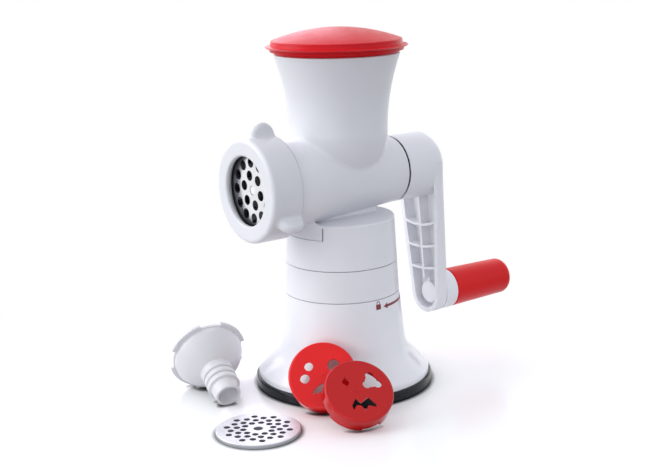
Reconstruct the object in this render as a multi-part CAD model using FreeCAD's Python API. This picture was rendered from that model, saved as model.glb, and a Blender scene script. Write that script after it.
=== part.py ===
import FreeCAD, Part
import math
import os

Vector = FreeCAD.Vector
os.makedirs("parts", exist_ok=True)

# Lengths are in millimetres. The barrel runs along X with the crank at plus X, and Z is up.
# The origin is on the table at the middle of the round base.

# Fits and gaps
running_gap = 0.05
close_gap = 0.3
seam_gap = 0.6
wall = 3.0

# Base
foot_r = 75.0
foot_top = 8.5
foot_ring_width = 8.5
foot_inner_r = foot_r - foot_ring_width
lip_inset = 2.4
lip_r = foot_r - lip_inset
flare_width = 22.0
flare_r = 22.0
flare_height = 30.5
column_foot_r = foot_r - flare_width
column_foot_z = foot_top + flare_height
column_taper = 4.8
column_height = 40.9
column_top_r = column_foot_r - column_taper
column_top_z = column_foot_z + column_height
deck_thickness = 3.4
stem_r = 8.0
tower_wall = 11.0
tower_r = stem_r + tower_wall
tower_depth = 21.9
tower_foot_z = column_top_z - tower_depth
lock_height = 25.7
lock_top_z = column_top_z + seam_gap + lock_height
tower_rise = 1.8
tower_top_z = lock_top_z + tower_rise
lock_hub_wall = 8.0
lock_hub_r = tower_r + lock_hub_wall
lock_web_z = column_top_z + 0.4 * lock_height
lock_turn = 60.0
suction_travel = 6.0
suction_pin_r = 2.5
suction_pin_rise = 6.1
suction_pin_z = column_top_z + suction_pin_rise
pad_thickness = 3.0
collar_taper = 3.2
collar_height = 35.1
collar_top_r = column_top_r - collar_taper
collar_top_z = lock_top_z + seam_gap + collar_height
collar_wall = 3.4
socket_r = collar_top_r - collar_wall
collar_floor = 3.2
collar_screw_r = 2.0
collar_screw_ring = (stem_r + tower_r) / 2
collar_screw_depth = 11.0
collar_screw_head = 2.4
tab_depth = 10.1
tab_bottom_z = collar_top_z - tab_depth
tab_half_angle = 35.0

# Plate, nose of the barrel and ring nut, from the size of the plate
plate_r = 33.0
plate_thickness = 4.2
plate_inset = 2.5
coarse_hole_r = 4.1
plate_pin_r = 3.7
nose_wall = 2.2
nose_length = 19.4
nose_r = plate_r + nose_wall
thread_pitch = 6.0
thread_height = 1.7
nut_wall = 4.4
nut_bore_r = nose_r + thread_height + 0.5
nut_r = nut_bore_r + nut_wall
nut_lip = 5.0
nut_mouth_r = plate_r - nut_lip
nut_lip_depth = 3.4
nut_seat_width = 1.8
nut_overhang = 8.9
nut_lobe_r = 11.3
nut_lobe_ring = nut_r + 0.2
nut_lobe_half = 4.6
lobe_edge_round = 4.2
lobe_blend_r = 2.4

# Grinder head
barrel_front_step = 0.6
barrel_front_r = nose_r + barrel_front_step
barrel_sink = 1.5
barrel_z = collar_top_z + barrel_front_r - barrel_sink
barrel_front_x = -64.6
barrel_rear_x = 52.6
barrel_rear_r = 28.0
barrel_wall = 3.6
chamber_front_r = plate_r - 2.0
chamber_rear_r = barrel_rear_r - barrel_wall
bush_length = 13.6
chamber_rear_x = barrel_rear_x - bush_length
foot_disc = 1.9
foot_disc_top_z = collar_top_z + foot_disc
web_half = 9.0
web_end_x = barrel_rear_x - 18.6
groove_height = 8.8
groove_top_z = foot_disc_top_z + groove_height
groove_end_x = 4.6 - collar_top_r
spigot_depth = 25.9
spigot_bottom_z = collar_top_z - spigot_depth
hopper_r = 40.5
hopper_shoulder = 37.8
hopper_shoulder_z = barrel_z + hopper_shoulder
hopper_waist = 28.0
hopper_waist_z = hopper_shoulder_z + hopper_waist
hopper_waist_r = hopper_r + 1.9
hopper_flare = 36.4
hopper_rim_z = hopper_waist_z + hopper_flare
hopper_rim_spread = 9.0
hopper_rim_r = hopper_waist_r + hopper_rim_spread
throat_wall = 4.5
throat_r = barrel_rear_r - throat_wall

# Places along the nose and the nut
nose_front_x = barrel_front_x - nose_length
plate_back_x = nose_front_x + plate_inset
nut_front_x = nose_front_x - nut_overhang
nut_back_x = barrel_front_x - 0.4
nut_lobe_x = nut_back_x - nut_lobe_r + 0.7

# Feed screw
auger_core_r = 10.5
auger_pitch = 27.0
knife_thickness = 4.6
knife_r = chamber_front_r - 1.5
auger_front_x = plate_back_x + knife_thickness + 2.4
auger_rear_x = chamber_rear_x - 1.0
square_size = 9.0
journal_r = 9.0
bush_wall = 2.5
bush_r = journal_r + bush_wall
hex_flat = 13.0

# Crank and grip
crank_length = 114.0
crank_rest_angle = 5.6
thrust_ring_thickness = 1.3
hub_r = barrel_rear_r
hub_length = 29.8
arm_thickness = 13.1
arm_inner_x = barrel_rear_x + hub_length
arm_outer_x = arm_inner_x + arm_thickness
arm_end_r = 17.5
arm_wall = 4.2
arm_skin = 3.2
arm_edge_round = 5.0
hub_edge_round = 11.5
rib_thickness = 2.0
rib_shares = (0.468, 0.637, 0.805)
handle_boss = 11.3
handle_boss_x = arm_outer_x + handle_boss
grip_length = 66.8
grip_start_x = handle_boss_x + 0.4
grip_end_x = grip_start_x + grip_length
grip_start_r = arm_end_r - 0.5
grip_taper = 1.2
grip_end_r = grip_start_r - grip_taper
grip_pin_r = 5.0

# Pusher
lid_bottom_z = hopper_rim_z + close_gap
lid_skirt = 5.5
lid_flange_z = lid_bottom_z + lid_skirt
lid_dome = 14.8
lid_top_z = lid_flange_z + lid_dome
lid_overhang = 2.0
lid_tier_r = hopper_rim_r + lid_overhang
lid_brim = 4.7
lid_flange_r = lid_tier_r + lid_brim
pusher_clearance = 6.5
pusher_r = hopper_r - wall - pusher_clearance
pusher_depth = 46.4
pusher_bottom_z = hopper_rim_z - pusher_depth

# Loose attachments
funnel_flange_r = plate_r
funnel_length = 56.0
funnel_tube_r = 10.4
funnel_gap_angle = 32.0
funnel_heading = -12.0
funnel_spot = (-foot_r - 37.5, 8.5)
fine_plate_spot = (-foot_r - plate_r - 15.6, -plate_r - 22.2)
fine_plate_thickness = 3.0
fine_hole_r = 2.55
die_r = plate_r - 5.4
die_depth = 14.0
die_wall = 1.6
die_edge_r = 2.2
die_gap = 0.5
round_die_heading = -39.0
round_die_lean = 34.0
round_die_aside = -0.18 * foot_r
trefoil_die_heading = -18.0
trefoil_die_lean = 50.0
trefoil_die_aside = -0.3 * foot_r


# Helpers
def upright(spot):
    """Radius and height as a point beside the upright axis."""
    return Vector(spot[0], 0, spot[1])


def along_barrel(spot):
    """Distance along the barrel and radius as a point beside the barrel axis."""
    return Vector(spot[0], 0, barrel_z + spot[1])


def outline(stops, place):
    """Closed face through the stops. A stop of four numbers is an arc through a point to an end."""
    edges = []
    here = stops[0]
    for stop in stops[1:] + stops[:1]:
        there = stop[-2:]
        if len(stop) == 4:
            edges.append(Part.Arc(place(here), place(stop[:2]), place(there)).toShape())
        elif there != here:
            edges.append(Part.makeLine(place(here), place(there)))
        here = there
    return Part.Face(Part.Wire(edges))


def turned_upright(stops):
    return outline(stops, upright).revolve(Vector(0, 0, 0), Vector(0, 0, 1), 360)


def turned_on_barrel(stops):
    return outline(stops, along_barrel).revolve(Vector(0, 0, barrel_z), Vector(1, 0, 0), 360)


def upright_rod(radius, low, high, x=0.0, y=0.0):
    return Part.makeCylinder(radius, high - low, Vector(x, y, low))


def barrel_rod(radius, start, end, y=0.0, z=barrel_z):
    return Part.makeCylinder(radius, end - start, Vector(start, y, z), Vector(1, 0, 0))


def block(x, y, z):
    """Box from three pairs of low and high values."""
    size = (x[1] - x[0], y[1] - y[0], z[1] - z[0])
    return Part.makeBox(size[0], size[1], size[2], Vector(x[0], y[0], z[0]))


def sector(radius, low, high, half_angle):
    """Slice of an upright cylinder centred on minus X."""
    foot = Vector(0, 0, low)
    slice_shape = Part.makeCylinder(radius, high - low, foot, Vector(0, 0, 1), 2 * half_angle)
    slice_shape.rotate(Vector(0, 0, 0), Vector(0, 0, 1), 180 - half_angle)
    return slice_shape


def turned(shape, angle, axis=Vector(0, 0, 1), centre=Vector(0, 0, 0)):
    copy = shape.copy()
    copy.rotate(centre, axis, angle)
    return copy


def about_barrel(shape, angle):
    return turned(shape, angle, Vector(1, 0, 0), Vector(0, 0, barrel_z))


def on_barrel(shape, start):
    """Lay a shape built upright at the origin along the barrel axis."""
    copy = turned(shape, 90, Vector(0, 1, 0))
    copy.translate(Vector(start, 0, barrel_z))
    return copy


def rounded(shape, radius, chosen):
    return shape.makeFillet(radius, [edge for edge in shape.Edges if chosen(edge)])


def is_ring(edge, radius, middle):
    curve = edge.Curve
    if not isinstance(curve, Part.Circle):
        return False
    return abs(curve.Radius - radius) < 0.01 and curve.Center.distanceToPoint(middle) < 0.01


def ridge(pitch, height, root_r, crest_r, root_width, crest_width):
    """Screw ridge built upright from the origin, turning right-handed."""
    spine = Part.Wire(Part.makeHelix(pitch, height, root_r).Edges)
    half = (root_width - crest_width) / 2
    corners = [
        Vector(root_r, 0, 0),
        Vector(crest_r, 0, half),
        Vector(crest_r, 0, half + crest_width),
        Vector(root_r, 0, root_width),
    ]
    section = Part.makePolygon(corners + corners[:1])
    return spine.makePipeShell([section], True, True)


def prism(face, reach):
    return face.extrude(reach)


def hexagon(flat, start, end):
    corner = flat / math.sqrt(3)
    spots = []
    for step in range(6):
        angle = math.radians(60 * step)
        spots.append(Vector(start, corner * math.sin(angle), barrel_z + corner * math.cos(angle)))
    face = Part.Face(Part.makePolygon(spots + spots[:1]))
    return prism(face, Vector(end - start, 0, 0))


def whole(shape):
    """The single solid of a finished shape."""
    clean = shape.removeSplitter()
    if len(clean.Solids) == 1:
        return clean.Solids[0]
    return clean


def write(name, shape):
    finished = whole(shape)
    finished.exportStep("parts/" + name + ".step")
    print(name, len(finished.Solids), finished.isValid(), round(finished.Volume))


# Round base: foot ring, bell with its tower, lock ring and collar
def shell_r(height):
    """Outer radius of the column above the bell."""
    share = (height - column_top_z) / (collar_top_z - column_top_z)
    return column_top_r + share * (collar_top_r - column_top_r)


lean = math.atan2(column_foot_r - column_top_r, column_top_z - column_foot_z)
flare_middle = (column_foot_r + flare_r * math.cos(lean), column_foot_z + flare_r * math.sin(lean))


def flare_spot(share, inset):
    """Point on the flare, from the column at 0 to the sloping skirt at 1."""
    angle = math.pi + lean + share * (math.pi / 4 - lean)
    reach = flare_r + inset
    return (flare_middle[0] + reach * math.cos(angle), flare_middle[1] + reach * math.sin(angle))


def skirt_end(inset):
    start = flare_spot(1, inset)
    return (lip_r - inset, start[1] - (lip_r - inset - start[0]))


bead_r = lip_r - wall - close_gap
bead_top_z = skirt_end(wall)[1] - close_gap
foot_ring = turned_upright([
    (foot_inner_r, 0.0),
    (foot_r - 1.0, 0.0),
    (foot_r - 0.3, 0.3, foot_r, 1.0),
    (foot_r, foot_top - 2.0),
    (foot_r - 0.5, foot_top - 0.6, foot_r - 1.4, foot_top),
    (bead_r, foot_top),
    (bead_r, bead_top_z),
    (foot_inner_r, bead_top_z),
])
write("foot_ring", foot_ring)

bell = turned_upright([
    (lip_r, foot_top),
    skirt_end(0),
    flare_spot(1, 0),
    flare_spot(0.5, 0) + flare_spot(0, 0),
    (column_top_r, column_top_z),
    (tower_r, column_top_z),
    (tower_r, tower_top_z),
    (stem_r + running_gap, tower_top_z),
    (stem_r + running_gap, tower_foot_z),
    (tower_r, tower_foot_z),
    (tower_r, column_top_z - deck_thickness),
    (column_top_r - wall, column_top_z - deck_thickness),
    flare_spot(0, wall),
    flare_spot(0.5, wall) + flare_spot(1, wall),
    skirt_end(wall),
    (lip_r - wall, foot_top),
])
bell = rounded(bell, 1.2, lambda edge: is_ring(edge, lip_r, Vector(0, 0, skirt_end(0)[1])))
slot_half = suction_pin_r + close_gap
bell = bell.cut(block(
    (-tower_r - 1, tower_r + 1),
    (-slot_half, slot_half),
    (suction_pin_z - slot_half, suction_pin_z + suction_travel + slot_half),
))
for step in range(3):
    angle = math.radians(120 * step + 90)
    x = collar_screw_ring * math.cos(angle)
    y = collar_screw_ring * math.sin(angle)
    low = tower_top_z - collar_screw_depth - 2
    bell = bell.cut(upright_rod(collar_screw_r, low, tower_top_z + 1, x, y))
write("base_bell", bell)

lock_bottom_z = column_top_z + seam_gap
hub_bore_r = tower_r + close_gap
lock_ring = turned_upright([
    (shell_r(lock_bottom_z), lock_bottom_z),
    (shell_r(lock_top_z), lock_top_z),
    (shell_r(lock_top_z) - wall, lock_top_z),
    (shell_r(lock_web_z) - wall, lock_web_z + wall),
    (lock_hub_r, lock_web_z + wall),
    (lock_hub_r, lock_top_z - 0.5),
    (hub_bore_r, lock_top_z - 0.5),
    (hub_bore_r, lock_bottom_z),
    (lock_hub_r, lock_bottom_z),
    (lock_hub_r, lock_web_z),
    (shell_r(lock_web_z) - wall, lock_web_z),
    (shell_r(lock_bottom_z) - wall, lock_bottom_z),
])
cam_half = suction_pin_r / math.cos(math.radians(17)) + close_gap
cam_corners = (
    (tower_r, -cam_half),
    (lock_hub_r + 1, -cam_half),
    (lock_hub_r + 1, cam_half),
    (tower_r, cam_half),
)
for side in (0, 180):
    sections = []
    for step in range(-1, 9):
        back = step * lock_turn / 7
        height = suction_pin_z + suction_travel * back / lock_turn
        angle = math.radians(side - back)
        corners = []
        for radius, offset in cam_corners:
            corners.append(Vector(radius * math.cos(angle), radius * math.sin(angle), height + offset))
        sections.append(Part.makePolygon(corners + corners[:1]))
    lock_ring = lock_ring.cut(Part.makeLoft(sections, True, True))
write("lock_ring", lock_ring)

collar_bottom_z = lock_top_z + seam_gap
floor_top_z = tower_top_z + collar_floor
collar = turned_upright([
    (0.0, tower_top_z),
    (shell_r(collar_bottom_z) - wall, tower_top_z),
    (shell_r(collar_bottom_z) - wall, collar_bottom_z),
    (shell_r(collar_bottom_z), collar_bottom_z),
    (collar_top_r, collar_top_z),
    (socket_r, collar_top_z),
    (socket_r, floor_top_z),
    (0.0, floor_top_z),
])
notch = sector(foot_r, tab_bottom_z - close_gap, collar_top_z + 1, tab_half_angle + 0.5)
collar = collar.cut(notch.cut(upright_rod(socket_r - 1, 0, barrel_z)))
screws = []
for step in range(3):
    angle = math.radians(120 * step + 90)
    x = collar_screw_ring * math.cos(angle)
    y = collar_screw_ring * math.sin(angle)
    collar = collar.cut(upright_rod(collar_screw_r + close_gap, tower_top_z - 1, floor_top_z + 1, x, y))
    low = tower_top_z - collar_screw_depth
    top = floor_top_z + collar_screw_head
    shank = upright_rod(collar_screw_r - running_gap, low, floor_top_z + 0.5, x, y)
    head = upright_rod(collar_screw_r * 1.9, floor_top_z, top, x, y)
    head = rounded(head, 0.8, lambda edge: abs(edge.BoundBox.ZMin - top) < 0.01)
    arm = collar_screw_r * 1.2
    drive = block((x - arm / 5, x + arm / 5), (y - arm, y + arm), (top - collar_screw_head / 2, top + 1))
    cross = turned(drive, 90, Vector(0, 0, 1), Vector(x, y, 0))
    screws.append(whole(shank.fuse(head).cut(drive).cut(cross)))
write("base_collar", collar)
write("collar_screws", Part.makeCompound(screws))

# Suction mechanism inside the base
pad_r = foot_inner_r - 1.0
pad = turned_upright([
    (0.0, 0.0),
    (pad_r, 0.0),
    (pad_r, 1.6),
    (pad_r - 29.5, pad_thickness),
    (0.0, pad_thickness),
])
write("suction_pad", pad)
stem_top_z = suction_pin_z + 10
stem = turned_upright([
    (0.0, pad_thickness),
    (pad_r / 2, pad_thickness),
    (pad_r / 2, pad_thickness + 2.5),
    (stem_r + 6.0, pad_thickness + 6.0),
    (stem_r + 3.0, pad_thickness + 8.5, stem_r, pad_thickness + 14.0),
    (stem_r, stem_top_z - 1),
    (stem_r - 1, stem_top_z),
    (0.0, stem_top_z),
])
write("suction_stem", stem.cut(barrel_rod(suction_pin_r, -2 * stem_r, 2 * stem_r, 0, suction_pin_z)))
pin_half = lock_hub_r - 1.0
pin = barrel_rod(suction_pin_r, -pin_half, pin_half, 0, suction_pin_z)
write("suction_pin", rounded(pin, 0.6, lambda edge: isinstance(edge.Curve, Part.Circle)))

# Grinder head: one moulding with barrel, hopper, foot and the spigot that plugs into the collar.
# It is kept as three nodes that meet on flat planes, so that each one has a simple hollow.
barrel = turned_on_barrel([
    (nose_front_x, 0.0),
    (nose_front_x, nose_r - 0.6),
    (nose_front_x + 0.6, nose_r),
    (barrel_front_x, nose_r),
    (barrel_front_x, barrel_front_r),
    (barrel_rear_x - 1.0, barrel_rear_r),
    (barrel_rear_x - 0.3, barrel_rear_r - 0.3, barrel_rear_x, barrel_rear_r - 1.0),
    (barrel_rear_x, 0.0),
])
side_mid_r = hopper_r + (hopper_waist_r - hopper_r) / 4
flare_mid_r = hopper_waist_r + 0.367 * hopper_rim_spread
flare_mid_z = hopper_waist_z + 0.453 * hopper_flare
hopper = turned_upright([
    (0.0, barrel_z),
    (barrel_rear_r - 2.0, barrel_z),
    (barrel_rear_r + 0.2, barrel_z + 8),
    (hopper_r - 3.1, hopper_shoulder_z - 14.5, hopper_r, hopper_shoulder_z),
    (side_mid_r, hopper_shoulder_z + hopper_waist / 2, hopper_waist_r, hopper_waist_z),
    (flare_mid_r, flare_mid_z, hopper_rim_r, hopper_rim_z - 1.0),
    (hopper_rim_r - 0.6, hopper_rim_z - 0.1, hopper_rim_r - 1.2, hopper_rim_z),
    (0.0, hopper_rim_z),
])
head = barrel.fuse(hopper).removeSplitter()
seam = [
    edge for edge in head.Edges
    if edge.BoundBox.ZMin > barrel_z - 5 and edge.BoundBox.ZMax < hopper_shoulder_z + 8
    and edge.BoundBox.YLength > 20 and not isinstance(edge.Curve, Part.Circle)
]
head = head.makeFillet(4.0, seam)
foot_plate = turned_upright([
    (0.0, collar_top_z),
    (collar_top_r, collar_top_z),
    (collar_top_r, foot_disc_top_z - 1.2),
    (collar_top_r - 0.4, foot_disc_top_z - 0.4, collar_top_r - 1.2, foot_disc_top_z),
    (0.0, foot_disc_top_z),
])
web = block((groove_end_x, web_end_x), (-web_half, web_half), (foot_disc_top_z - 0.5, groove_top_z + 3))


def web_corner(edge):
    return edge.BoundBox.XMin > web_end_x - 0.01 and edge.BoundBox.ZLength > 5


web = rounded(web, 4.0, web_corner)
front_wall = sector(collar_top_r, tab_bottom_z, barrel_z - barrel_front_r / 3, tab_half_angle - 1)
front_wall = front_wall.cut(upright_rod(socket_r - wall, 0, collar_top_z))
groove_r = (groove_top_z - foot_disc_top_z) / 2
groove = block((groove_end_x + groove_r, foot_r), (-foot_r, foot_r), (foot_disc_top_z, groove_top_z))
groove_middle = Vector(groove_end_x + groove_r, -foot_r, foot_disc_top_z + groove_r)
groove = groove.fuse(Part.makeCylinder(groove_r, 2 * foot_r, groove_middle, Vector(0, 1, 0)))
front_wall = front_wall.cut(groove)
spigot = upright_rod(socket_r - close_gap, spigot_bottom_z, collar_top_z + 0.5)
spigot = spigot.cut(upright_rod(socket_r - wall, spigot_bottom_z - 1, collar_top_z))
head = head.fuse([foot_plate, web, front_wall, spigot])

chamber = turned_on_barrel([
    (nose_front_x - 1, 0.0),
    (nose_front_x - 1, plate_r + close_gap),
    (plate_back_x + close_gap, plate_r + close_gap),
    (plate_back_x + close_gap, chamber_front_r),
    (barrel_front_x, chamber_front_r - 0.6),
    (chamber_rear_x, chamber_rear_r),
    (chamber_rear_x, 0.0),
])
hopper_cut_z = hopper_shoulder_z + 6
hollow = turned_upright([
    (0.0, barrel_z),
    (throat_r, barrel_z),
    (throat_r, hopper_shoulder_z - 13.8),
    (hopper_r - wall, hopper_cut_z),
    (hopper_waist_r - wall, hopper_waist_z),
    (flare_mid_r - wall, flare_mid_z, hopper_rim_r - wall, hopper_rim_z),
    (hopper_rim_r - wall, hopper_rim_z + 1),
    (0.0, hopper_rim_z + 1),
])
head = head.cut(chamber).cut(hollow)
head = head.cut(barrel_rod(bush_r, chamber_rear_x - 1, barrel_rear_x + 1))
key_width = 3.6
key = block(
    (nose_front_x + 0.2, plate_back_x + close_gap + 1),
    (-key_width / 2, key_width / 2),
    (barrel_z - plate_r - 1, barrel_z - plate_r + 2.2),
)
nose_crest_r = nose_r + thread_height - 0.2
nose_thread = ridge(thread_pitch, 1.25 * thread_pitch, nose_r - 0.6, nose_crest_r, 2.6, 1.4)
thread_start_x = nose_front_x + 1.0
head = head.fuse(key).fuse(on_barrel(nose_thread, thread_start_x))
reach = (-2 * foot_r, 2 * foot_r)
above = block(reach, reach, (hopper_cut_z, hopper_rim_z + 1))
below = block((-collar_top_r, foot_r), reach, (0, collar_top_z))
write("hopper", head.common(above))
write("head_spigot", head.common(below))
write("grinder_body", head.cut(above).cut(below))

bush = turned_on_barrel([
    (chamber_rear_x, journal_r + running_gap),
    (barrel_rear_x, journal_r + running_gap),
    (barrel_rear_x, bush_r - 0.01),
    (chamber_rear_x, bush_r - 0.01),
])
write("rear_bush", bush)

# Coarse plate with two rings of holes, a key notch and a middle hole for the feed screw pin
plate_front_x = plate_back_x - plate_thickness
plate = barrel_rod(plate_r, plate_front_x, plate_back_x)
plate = rounded(plate, 0.5, lambda edge: isinstance(edge.Curve, Part.Circle))
plate = plate.cut(barrel_rod(plate_pin_r + running_gap, plate_front_x - 1, plate_back_x + 1))
for count, ring, first in ((6, 0.3636 * plate_r, 47.0), (12, 0.6788 * plate_r, 3.0)):
    for step in range(count):
        angle = math.radians(first + step * 360 / count)
        y = -ring * math.cos(angle)
        z = barrel_z + ring * math.sin(angle)
        plate = plate.cut(barrel_rod(coarse_hole_r, plate_front_x - 1, plate_back_x + 1, y, z))
plate = plate.cut(block(
    (plate_front_x - 1, plate_back_x + 1),
    (-key_width / 2 - close_gap, key_width / 2 + close_gap),
    (barrel_z - plate_r - 1, barrel_z - plate_r + 2.2 + close_gap),
))
write("coarse_plate", plate)

# Ring nut with three finger lobes
lip_back_x = plate_front_x - close_gap
nut = turned_on_barrel([
    (nut_front_x, nut_mouth_r + 0.8),
    (nut_front_x, nut_r - 3.4),
    (nut_front_x + 1.0, nut_r - 1.0, nut_front_x + 3.4, nut_r),
    (nut_back_x, nut_r),
    (nut_back_x, 0.0),
    (nut_front_x + nut_lip_depth, 0.0),
    (nut_front_x + nut_lip_depth, nut_mouth_r),
    (nut_front_x + 0.8, nut_mouth_r),
])
lobe_middle = Vector(nut_lobe_x, -nut_lobe_half, barrel_z + nut_lobe_ring)
lobe = Part.makeCylinder(nut_lobe_r, 2 * nut_lobe_half, lobe_middle, Vector(0, 1, 0))
lobe = rounded(lobe, lobe_edge_round, lambda edge: isinstance(edge.Curve, Part.Circle))
lobe = lobe.common(block((nut_front_x, nut_back_x), (-foot_r, foot_r), (0, 2 * barrel_z)))
for step in range(3):
    nut = nut.fuse(about_barrel(lobe, 120 * step))
nut = nut.removeSplitter()


def beside_lobe(edge):
    """True for the edges where a lobe leaves the round side of the nut."""
    box = edge.BoundBox
    if edge.Length < 1 or box.XLength < 1 or box.XMin < nut_front_x + 4.5:
        return False
    for spot in edge.discretize(5):
        if abs(math.hypot(spot.y, spot.z - barrel_z) - nut_r) > 0.02:
            return False
    return True


nut = rounded(nut, lobe_blend_r, beside_lobe)
nut = nut.cut(barrel_rod(nut_mouth_r, nut_front_x - 1, nut_back_x + 1))
nut = nut.cut(barrel_rod(plate_r - nut_seat_width, nut_front_x + nut_lip_depth, nut_back_x + 1))
nut = nut.cut(barrel_rod(nut_bore_r, lip_back_x, nut_back_x + 1))
nut_crest_r = nut_bore_r - thread_height + 0.2
nut_thread = ridge(thread_pitch, thread_pitch, nut_bore_r + 0.6, nut_crest_r, 2.4, 1.2)
nut = nut.fuse(on_barrel(nut_thread, thread_start_x + thread_pitch / 2 + 0.1))
write("ring_nut", nut)

# Feed screw with its pin, square, flight, journal and hexagon end
flight_gap = 0.8
core = turned_on_barrel([
    (plate_front_x + 0.2, 0.0),
    (plate_front_x + 0.2, plate_pin_r - 0.4),
    (plate_front_x + 0.6, plate_pin_r),
    (plate_back_x + 1.0, plate_pin_r),
    (plate_back_x + 1.0, 0.0),
])
core = core.fuse(block(
    (plate_back_x + 0.4, auger_front_x + 1),
    (-square_size / 2, square_size / 2),
    (barrel_z - square_size / 2, barrel_z + square_size / 2),
))
core = core.fuse(turned_on_barrel([
    (auger_front_x, 0.0),
    (auger_front_x, auger_core_r),
    (auger_rear_x - 3.0, auger_core_r + 2),
    (auger_rear_x - 3.0, chamber_rear_r - 2),
    (auger_rear_x, chamber_rear_r - 2),
    (auger_rear_x, journal_r),
    (barrel_rear_x + close_gap, journal_r),
    (barrel_rear_x + close_gap, 0.0),
]))
hub_start_x = barrel_rear_x + close_gap + thrust_ring_thickness
hex_end_x = arm_inner_x + 2
core = core.fuse(hexagon(hex_flat, barrel_rear_x + close_gap - 1, hex_end_x))
flight_length = auger_rear_x - 5 - auger_front_x
flight = ridge(auger_pitch, flight_length - 5, auger_core_r - 2, chamber_front_r + 1, 6.0, 4.0)
flight = on_barrel(flight, auger_front_x)
envelope = turned_on_barrel([
    (auger_front_x, 0.0),
    (auger_front_x, chamber_front_r - 0.3 - flight_gap),
    (barrel_front_x, chamber_front_r - 0.6 - flight_gap),
    (auger_rear_x, chamber_rear_r - flight_gap),
    (auger_rear_x, 0.0),
])
auger = core.fuse(flight.common(envelope))
screw_r = 2.5
screw_start_x = hex_end_x - 14
auger = auger.cut(barrel_rod(screw_r, screw_start_x, hex_end_x + 1))
write("auger", about_barrel(auger, -crank_rest_angle))

# Cross knife on the square
knife_back_x = plate_back_x + close_gap + knife_thickness
knife = barrel_rod(9.5, plate_back_x + close_gap, knife_back_x)
for step in range(4):
    blade = outline([
        (5.0, -4.5),
        (knife_r - 2.0, -3.0),
        (knife_r, 2.2),
        (9.0, 4.0),
        (5.0, 4.0),
    ], lambda spot: Vector(plate_back_x + close_gap, spot[0], barrel_z + spot[1]))
    blade = prism(blade, Vector(knife_thickness - 1.0, 0, 0))
    knife = knife.fuse(about_barrel(blade, 90 * step + 20))
half_square = square_size / 2 + running_gap
knife = knife.cut(block(
    (plate_back_x, knife_back_x + 1),
    (-half_square, half_square),
    (barrel_z - half_square, barrel_z + half_square),
))
write("knife", about_barrel(knife, -crank_rest_angle))

# Crank arm, built hanging straight down and then turned to its resting angle
handle_z = barrel_z - crank_length


def arm_outline(inset, x):
    """Outline round the hub and the handle end, drawn in by the inset."""
    top_r = hub_r - inset
    end_r = arm_end_r - inset
    rise = (hub_r - arm_end_r) / crank_length
    spread = math.sqrt(1 - rise * rise)

    def place(spot):
        return Vector(x, spot[0], spot[1])

    return outline([
        (end_r * spread, handle_z + end_r * rise),
        (top_r * spread, barrel_z + top_r * rise),
        (0.0, barrel_z + top_r, -top_r * spread, barrel_z + top_r * rise),
        (-end_r * spread, handle_z + end_r * rise),
        (0.0, handle_z - end_r, end_r * spread, handle_z + end_r * rise),
    ], place)


arm = prism(arm_outline(0, arm_inner_x), Vector(arm_outer_x - arm_inner_x, 0, 0))
arm = arm.fuse(barrel_rod(hub_r, hub_start_x, arm_inner_x)).removeSplitter()
document = FreeCAD.newDocument("crank")
plain_arm = document.addObject("Part::Feature", "plain_arm")
plain_arm.Shape = arm
soft_edges = []
for index, edge in enumerate(arm.Edges, 1):
    box = edge.BoundBox
    if box.XMin > arm_outer_x - 0.01:
        upper = box.ZMin > barrel_z - 1
        lower = box.ZMax < handle_z + arm_end_r
        if upper:
            soft_edges.append((index, hub_edge_round, hub_edge_round))
        elif lower:
            soft_edges.append((index, arm_edge_round, arm_edge_round))
        else:
            first_is_high = edge.Vertexes[0].Point.z > edge.Vertexes[-1].Point.z
            start_round = hub_edge_round if first_is_high else arm_edge_round
            end_round = arm_edge_round if first_is_high else hub_edge_round
            soft_edges.append((index, start_round, end_round))
soft_arm = document.addObject("Part::Fillet", "soft_arm")
soft_arm.Base = plain_arm
soft_arm.Edges = soft_edges
document.recompute()
arm = soft_arm.Shape.copy()

skin_x = arm_outer_x - arm_skin
channel = prism(arm_outline(arm_wall, arm_inner_x - 1), Vector(skin_x - arm_inner_x + 1, 0, 0))
channel = channel.cut(barrel_rod(hub_r, arm_inner_x - 2, arm_outer_x))
ribs = block(
    (arm_inner_x, skin_x + 0.5),
    (-rib_thickness / 2, rib_thickness / 2),
    (handle_z, barrel_z - hub_r + 0.5),
)
for share in rib_shares:
    radius = share * crank_length
    outer = barrel_rod(radius + rib_thickness / 2, arm_inner_x, skin_x + 0.5)
    ribs = ribs.fuse(outer.cut(barrel_rod(radius - rib_thickness / 2, arm_inner_x, skin_x + 0.5)))
ribs = ribs.common(channel)
boss_r = grip_pin_r + 4.5
clear_r = boss_r + 3.5
ribs = ribs.cut(barrel_rod(clear_r, arm_inner_x - 1, skin_x - 4.5, 0, handle_z))
arm = arm.cut(channel).fuse(ribs)
arm = arm.fuse(barrel_rod(boss_r, skin_x - 5.5, skin_x + 0.5, 0, handle_z))
collar_boss = barrel_rod(arm_end_r - 0.3, arm_outer_x - 1, handle_boss_x, 0, handle_z)
collar_boss = rounded(collar_boss, 1.0, lambda edge: edge.BoundBox.XMin > handle_boss_x - 0.01)
arm = arm.fuse(collar_boss)
hub_hollow = barrel_rod(hub_r - wall, hub_start_x - 1, arm_inner_x - 1)
hub_hollow = hub_hollow.cut(barrel_rod(13.0, 0, arm_outer_x))
arm = arm.cut(hub_hollow)
spokes = []
for step in range(3):
    spoke = block((hub_start_x + 4, arm_inner_x), (-1.2, 1.2), (barrel_z + 12, barrel_z + hub_r - 1))
    spokes.append(about_barrel(spoke, 120 * step))
arm = arm.fuse(spokes)
arm = arm.cut(hexagon(hex_flat + 2 * running_gap, hub_start_x - 1, hex_end_x + close_gap))
cap_r = 8.0
cap_floor_x = arm_outer_x - 3.0
head_seat_x = arm_outer_x - 7.5
arm = arm.cut(barrel_rod(screw_r + close_gap, hex_end_x - 1, arm_outer_x + 1))
arm = arm.cut(barrel_rod(cap_r, head_seat_x, arm_outer_x + 1))
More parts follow.
